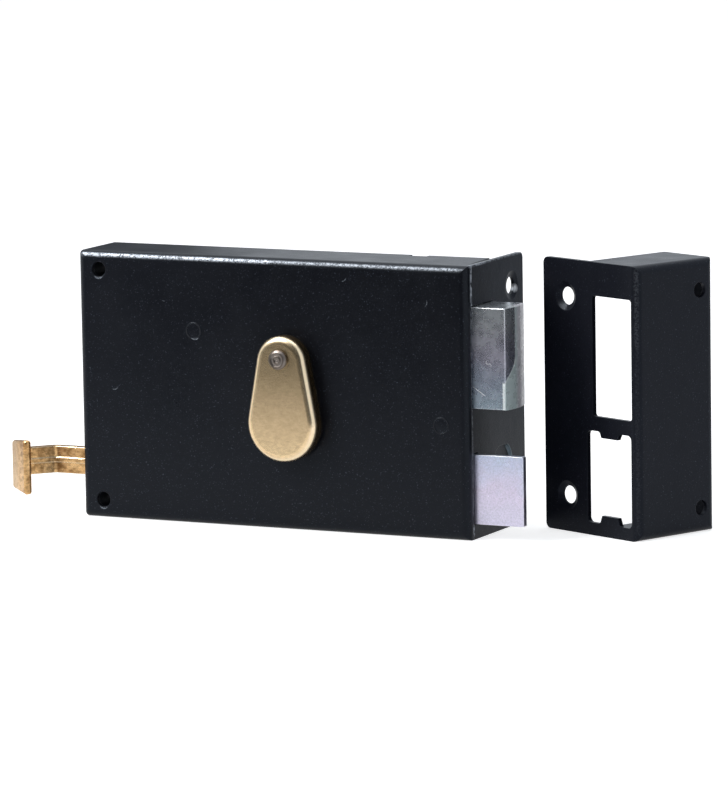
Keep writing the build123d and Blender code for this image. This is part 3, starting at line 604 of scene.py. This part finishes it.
# The latch spring is shown by a copy of it, with a mesh of its own, attached to the lock.
coil = bpy.data.objects.new("latch_spring_coil", nodes["latch_spring"].data.copy())
coil.matrix_world = nodes["latch_spring"].matrix_world.copy()
bpy.context.scene.collection.objects.link(coil)
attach(coil, "lock")
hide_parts("latch_spring")
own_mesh(coil)


# Floor, and panels that only shiny surfaces see

FLOOR_REACH = 6000
FLOOR_WHITE = 0.70
FLOOR_GLOSS = 0.42
LEFT_GLOSS = 0.18
RIGHT_GLOSS = 0.06
STAGE_GREY = (0.80, 0.80, 0.80, 1)
FLAG_BLACK = (0.030, 0.034, 0.042, 1)
FLAG_GREY = (0.30, 0.33, 0.38, 1)
FLAG_DARK = (0.29, 0.33, 0.41, 1)


def stage_material(name, colour, seen_white=0.0, mirrored_white=0.0):
    """Plain matt stage surface with the white that the camera and that shiny surfaces see on it."""
    s = Shader(name)
    surface = s.node("ShaderNodeBsdfDiffuse", {"Color": colour})
    if seen_white or mirrored_white:
        path = s.node("ShaderNodeLightPath").outputs
        mirrored = s.math("MAXIMUM", path["Is Glossy Ray"], path["Is Transmission Ray"])
        mirrored = s.times(mirrored, mirrored_white)
        strength = s.math("MULTIPLY_ADD", path["Is Camera Ray"], seen_white, mirrored)
        glow = s.node("ShaderNodeEmission", {"Color": (1, 1, 1, 1), "Strength": strength})
        surface = s.node("ShaderNodeAddShader", {0: surface.outputs[0], 1: glow.outputs[0]})
    return s.surface(surface)


def panel(name, corners, material):
    """A flat stage panel from its corners in millimetres."""
    mesh = bpy.data.meshes.new(name)
    mesh.from_pydata([at(*c) for c in corners], [], [tuple(range(len(corners)))])
    made = bpy.data.objects.new(name, mesh)
    bpy.context.scene.collection.objects.link(made)
    made.data.materials.append(material)
    return made


def wall(name, start, end, low, high, material):
    """An upright panel between two places of the floor, from one height to another."""
    corners = [(*start, low), (*end, low), (*end, high), (*start, high)]
    return panel(name, corners, material)


def sheet(name, low, high, height, material):
    """A level panel from its low corner to its high one."""
    (x0, y0), (x1, y1) = low, high
    corners = [(x0, y0, height), (x1, y0, height), (x1, y1, height), (x0, y1, height)]
    return panel(name, corners, material)


sheet("floor", (-FLOOR_REACH, -FLOOR_REACH), (FLOOR_REACH, FLOOR_REACH), 0,
      stage_material("floor_white", STAGE_GREY, FLOOR_WHITE, FLOOR_GLOSS))
flags = [
    wall("flag_front", (-60, -215), (300, -215), 0, 420, stage_material("flag_black", FLAG_BLACK)),
    wall("flag_left", (-330, -215), (-60, -215), 0, 420, stage_material("flag_grey", FLAG_GREY)),
    wall("flag_right", (260, 140), (260, 460), 0, 300, stage_material("flag_dark", FLAG_DARK)),
    sheet("card_left", (-300, -60), (-95, 200), 1,
          stage_material("card_left_grey", STAGE_GREY, mirrored_white=LEFT_GLOSS)),
    sheet("card_right", (165, 100), (262, 330), 1,
          stage_material("card_right_grey", STAGE_GREY, mirrored_white=RIGHT_GLOSS)),
    wall("flag_back", (-750, 600), (-262, 600), 60, 340,
         stage_material("flag_back_black", FLAG_BLACK)),
]
for flag in flags:
    flag.visible_camera = False
    flag.visible_diffuse = False
    flag.visible_shadow = False
    flag.visible_transmission = False


# Light

SKY_COLOUR = (0.87, 0.93, 1.0, 1)
SKY_LIGHT = 0.42
SKY_GLOSS = 0.95


def area_light(name, place, target, size, power, colour=(1, 1, 1)):
    """A square soft light that points at a target: places in millimetres, size in metres."""
    data = bpy.data.lights.new(name, "AREA")
    data.shape = "SQUARE"
    data.size = size
    data.energy = power
    data.color = colour
    lamp = bpy.data.objects.new(name, data)
    lamp.location = at(*place)
    lamp.rotation_euler = (at(*target) - lamp.location).to_track_quat("-Z", "Y").to_euler()
    bpy.context.scene.collection.objects.link(lamp)
    return lamp


area_light("key_light", (-480, -560, 620), (80, 10, 40), size=0.45, power=5.0,
           colour=(1.0, 0.99, 0.97))
glint_light = area_light("glint_light", (-428, -418, 829), (10, 0, 88), size=0.5, power=24.0)
glint_light.visible_diffuse = False
area_light("top_light", (120, 250, 950), (90, 20, 40), size=0.9, power=3.2,
           colour=(0.97, 0.98, 1.0))

world = bpy.data.worlds.new("studio")
bpy.context.scene.world = world
world.use_nodes = True
sky = world.node_tree.nodes["Background"]
path = world.node_tree.nodes.new("ShaderNodeLightPath")
mirrored = world.node_tree.nodes.new("ShaderNodeMath")
mirrored.operation = "MAXIMUM"
strength = world.node_tree.nodes.new("ShaderNodeMapRange")
strength.inputs["To Min"].default_value = SKY_LIGHT
strength.inputs["To Max"].default_value = SKY_GLOSS
world.node_tree.links.new(path.outputs["Is Glossy Ray"], mirrored.inputs[0])
world.node_tree.links.new(path.outputs["Is Camera Ray"], mirrored.inputs[1])
world.node_tree.links.new(mirrored.outputs[0], strength.inputs["Value"])
world.node_tree.links.new(strength.outputs["Result"], sky.inputs["Strength"])
sky.inputs["Color"].default_value = SKY_COLOUR


# Camera, fitted to the corners of the case and of the keep

YAW, PITCH, ROLL = 0.4582, 0.1447, -0.0160
FOCAL_PIXELS = math.exp(8.6757)
LONG_SIDE_PIXELS = 800
SENSOR_WIDTH = 36
TARGET = (70, 10, 45)
DISTANCE, SHIFT_RIGHT, SHIFT_UP = 1895.52, 25.6072, -4.288

away = Vector((math.sin(YAW) * math.cos(PITCH), -math.cos(YAW) * math.cos(PITCH), math.sin(PITCH)))
level = Vector((math.cos(YAW), math.sin(YAW), 0))
upward = away.cross(level)
right = math.cos(ROLL) * level + math.sin(ROLL) * upward
up = -math.sin(ROLL) * level + math.cos(ROLL) * upward
camera_data = bpy.data.cameras.new("camera")
camera_data.sensor_fit = "AUTO"
camera_data.sensor_width = SENSOR_WIDTH
camera_data.lens = FOCAL_PIXELS * SENSOR_WIDTH / LONG_SIDE_PIXELS
camera_data.clip_end = 30
camera = bpy.data.objects.new("camera", camera_data)
centre = at(*TARGET) + (away * DISTANCE + right * SHIFT_RIGHT + up * SHIFT_UP) * MM
turn = Matrix((right, up, away)).transposed().to_4x4()
camera.matrix_world = Matrix.Translation(centre) @ turn
bpy.context.scene.collection.objects.link(camera)
bpy.context.scene.camera = camera

bpy.context.scene.view_settings.view_transform = "Standard"
